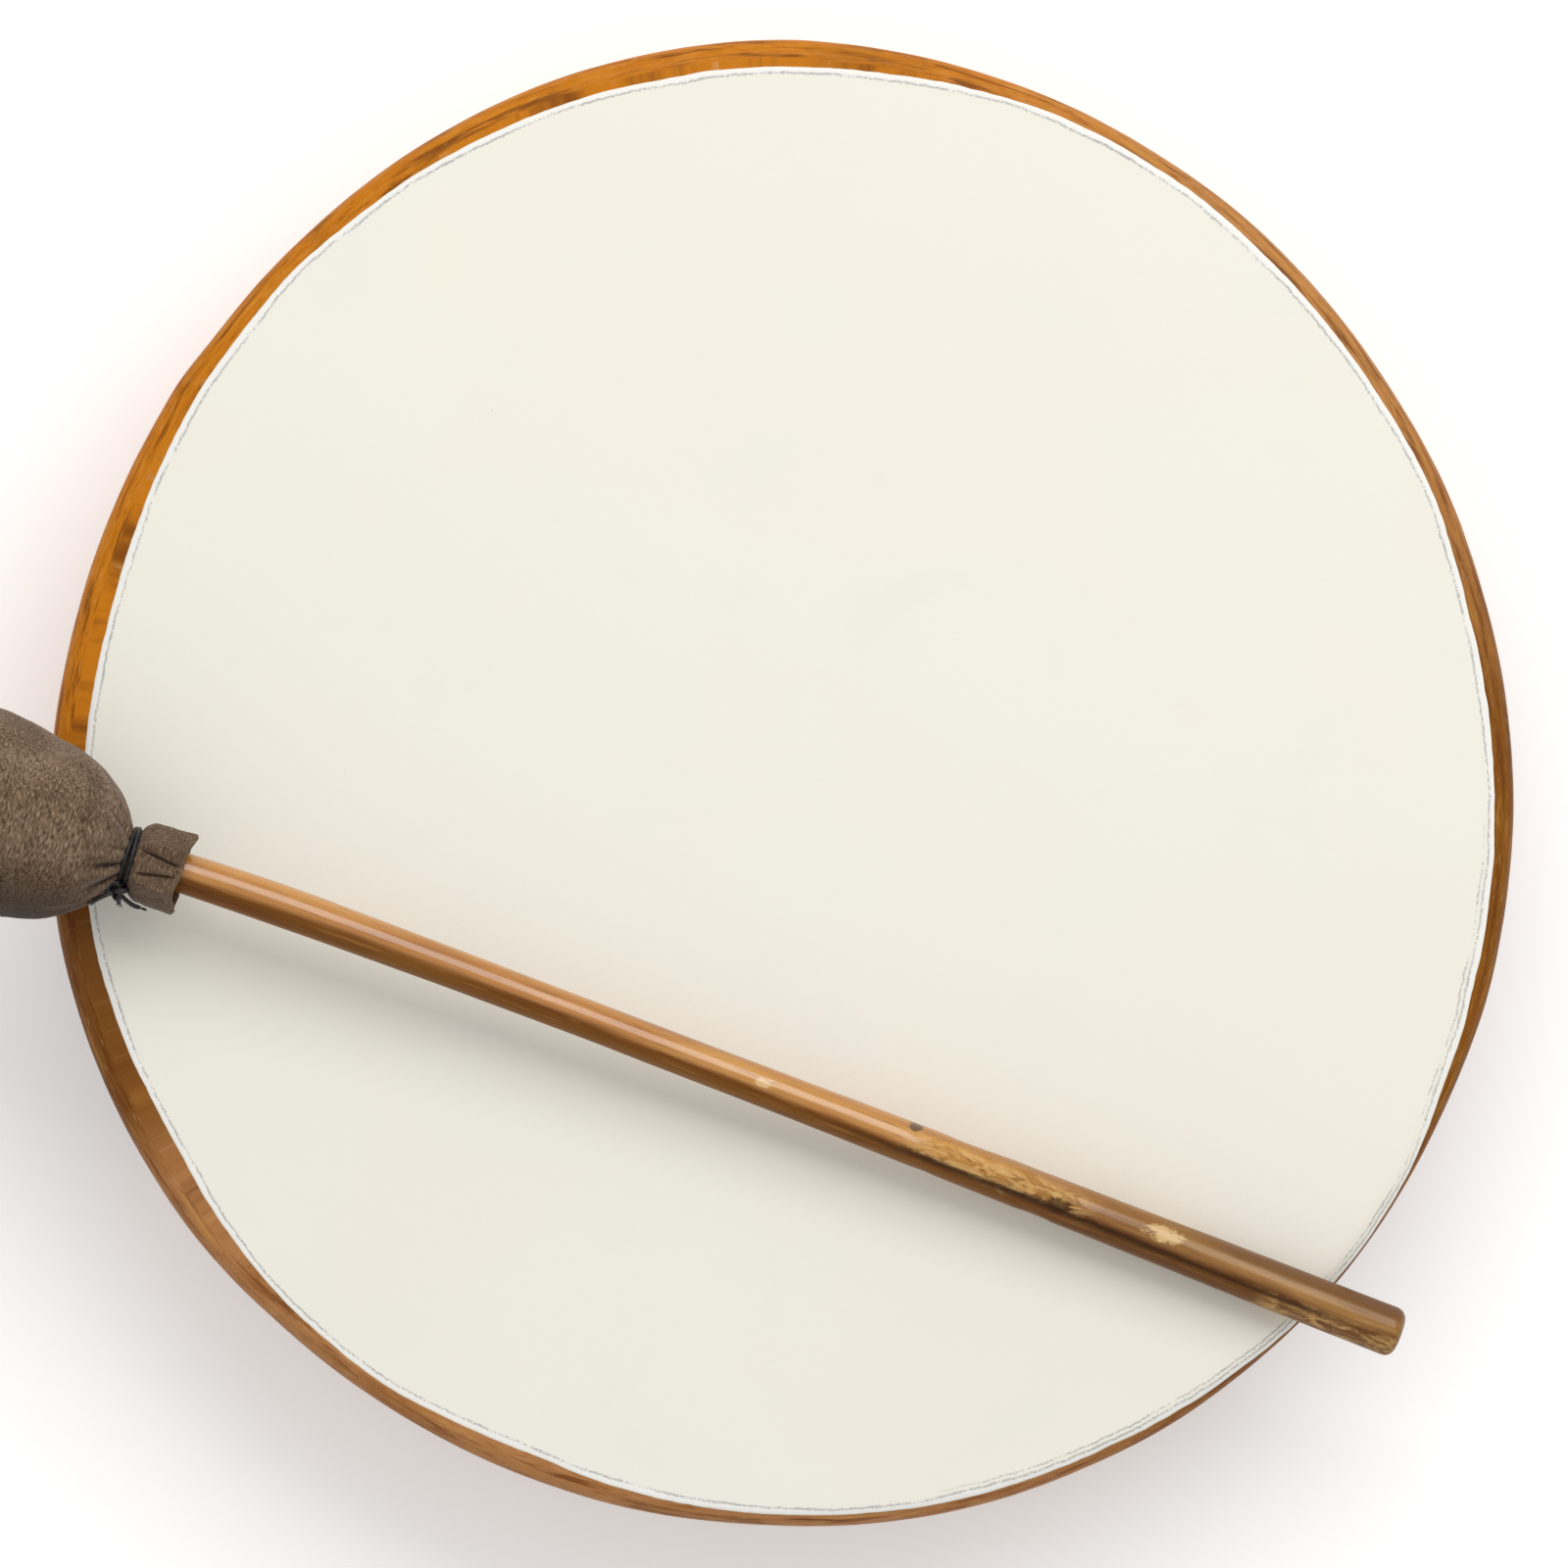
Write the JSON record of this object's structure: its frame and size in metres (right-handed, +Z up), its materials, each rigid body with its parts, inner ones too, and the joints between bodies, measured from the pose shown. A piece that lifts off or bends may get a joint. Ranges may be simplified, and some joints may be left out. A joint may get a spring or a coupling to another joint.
{
  "type": "frame drum",
  "caption": "Round frame drum with a rawhide head laced to a hand ring behind, and a padded suede beater resting across its rim.",
  "frame": {"origin": "on the drum's axis, on the plane its back edge rests on", "axes": "+Z up through the playing face; +X runs along the beater's longer reach, towards its far end"},
  "size_m": [0.4559, 0.4101, 0.1228],
  "materials": {
    "hoop_wood": "oiled bent ash",
    "copper": "dulled copper",
    "rawhide": "amber rawhide, semi-gloss",
    "ground": "thin pale ground coat, matt",
    "thong": "dried rawhide thong",
    "ring_steel": "plain steel",
    "grip_leather": "soft brown leather strip",
    "stick_wood": "peeled branch, glossy varnish",
    "wool": "packed wool",
    "cord": "black waxed cord",
    "suede": "dark taupe suede, napped"
  },
  "bodies": {
    "drum": {"hoop": "hoop_wood", "hoop_nails": "copper", "rawhide_head": "rawhide", "face_ground": "ground", "lace_north": "thong", "lace_east": "thong", "lace_south": "thong", "lace_west": "thong", "hand_ring": "ring_steel", "ring_wrap": "grip_leather", "grip_wrap_north": "grip_leather", "grip_wrap_east": "grip_leather", "grip_wrap_south": "grip_leather", "grip_wrap_west": "grip_leather"},
    "beater": {"beater_stick": "stick_wood", "head_padding": "wool", "padding_binding": "cord", "head_cover": "suede", "tie_cord": "cord", "tie_knot": "cord"}
  },
  "joints": [
    {"name": "beater_lift", "type": "slide", "parent": "drum", "child": "beater", "axis": [0, 0, 1], "range_m": [0, 0.12]}
  ]
}
